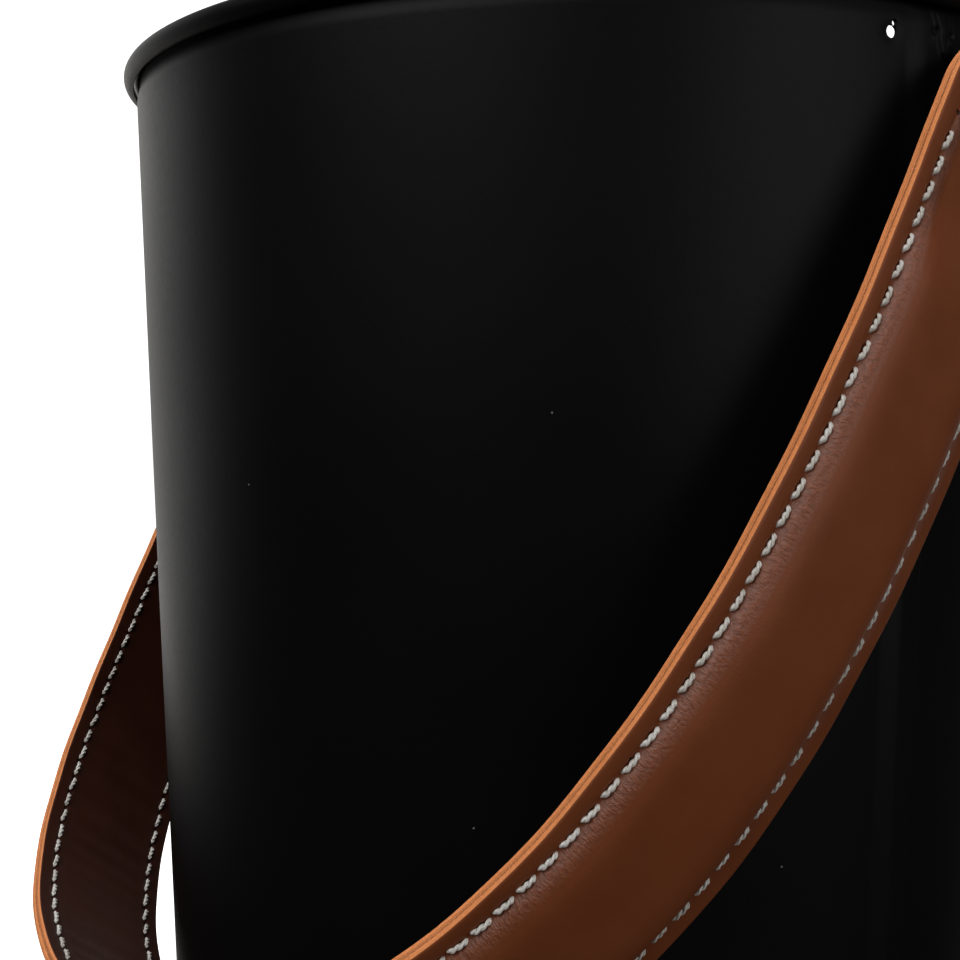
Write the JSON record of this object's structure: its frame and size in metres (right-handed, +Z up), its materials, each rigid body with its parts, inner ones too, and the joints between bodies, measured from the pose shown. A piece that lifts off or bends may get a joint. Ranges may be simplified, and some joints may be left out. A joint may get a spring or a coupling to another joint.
{
  "type": "bucket with leather handle",
  "caption": "Tapered black sheet-metal bucket with a rolled rim, a side lock seam and a padded, stitched brown leather bail handle that swings on two screws.",
  "frame": {"origin": "centre of the base, on the plane the bucket stands on", "axes": "+Z up along the bucket's axis; the handle turns about an axis parallel to X; the hanging handle is on the -Y side"},
  "size_m": [0.1926, 0.1909, 0.1989],
  "materials": {
    "powder_coat": "matte black powder coat with a very fine orange-peel texture",
    "wire_steel": "plain steel wire, hidden in the rim",
    "hardware": "blackened steel, satin",
    "outer_leather": "smooth chestnut leather, fine creases beside the stitching, raw tan edge",
    "lining_leather": "smooth dark brown leather, raw tan edge",
    "felt": "soft felt core, hidden between the leathers",
    "thread": "waxed twisted thread, light warm grey"
  },
  "bodies": {
    "bucket": {"bucket_wall": "powder_coat", "rim_wire": "wire_steel", "base_pan": "powder_coat", "pivot_bush_right": "hardware", "pivot_bush_left": "hardware", "outer_washer_right": "hardware", "outer_washer_left": "hardware", "pivot_screw_right": "hardware", "pivot_screw_left": "hardware", "inner_washer_right": "hardware", "inner_washer_left": "hardware", "cap_nut_right": "hardware", "cap_nut_left": "hardware"},
    "handle": {"strap_outer": "outer_leather", "strap_lining": "lining_leather", "strap_padding": "felt", "stitch_row_upper": "thread", "stitch_row_lower": "thread", "strap_eyelet_right": "hardware", "strap_eyelet_left": "hardware"}
  },
  "joints": [
    {"name": "handle_pivot", "type": "hinge", "parent": "bucket", "child": "handle", "pos_m": [0, 0, 0.1768], "axis": [-1, 0, 0], "range_deg": [0, 288]}
  ]
}
